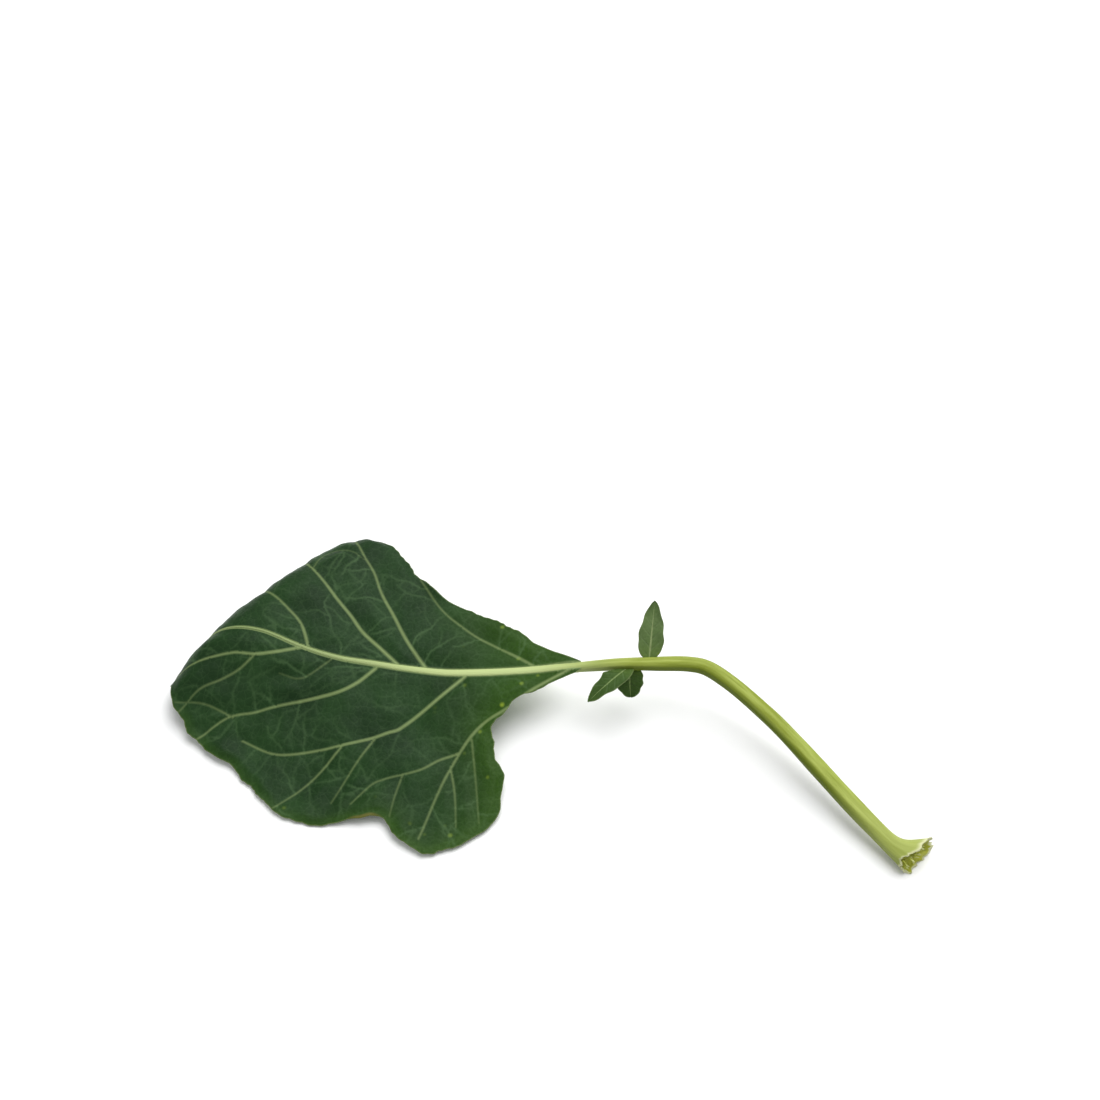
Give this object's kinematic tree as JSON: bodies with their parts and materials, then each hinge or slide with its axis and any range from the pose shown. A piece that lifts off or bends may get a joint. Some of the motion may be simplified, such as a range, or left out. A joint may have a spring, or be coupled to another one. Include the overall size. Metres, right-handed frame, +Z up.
{
  "type": "kohlrabi leaf",
  "caption": "Fresh kohlrabi leaf lying flat: broad lobed blade with its far edge curled under, pale midrib, long stalk with a torn flared end and small side lobes.",
  "frame": {"origin": "under the middle of the leaf's bounding box, on the surface it lies on", "axes": "+X from the leaf's tip towards the torn end of its stalk, +Y towards the leaf's curled far edge, +Z up"},
  "size_m": [0.3366, 0.1778, 0.0454],
  "materials": {
    "blade": "waxy dark green leaf skin",
    "stalk": "smooth pale yellow-green stalk skin",
    "side_lobes": "soft mid-green leaf skin"
  },
  "bodies": {
    "root": {"blade": "blade", "stalk": "stalk", "side_lobe_far": "side_lobes", "side_lobe_near_long": "side_lobes", "side_lobe_near_round": "side_lobes"}
  },
  "joints": []
}
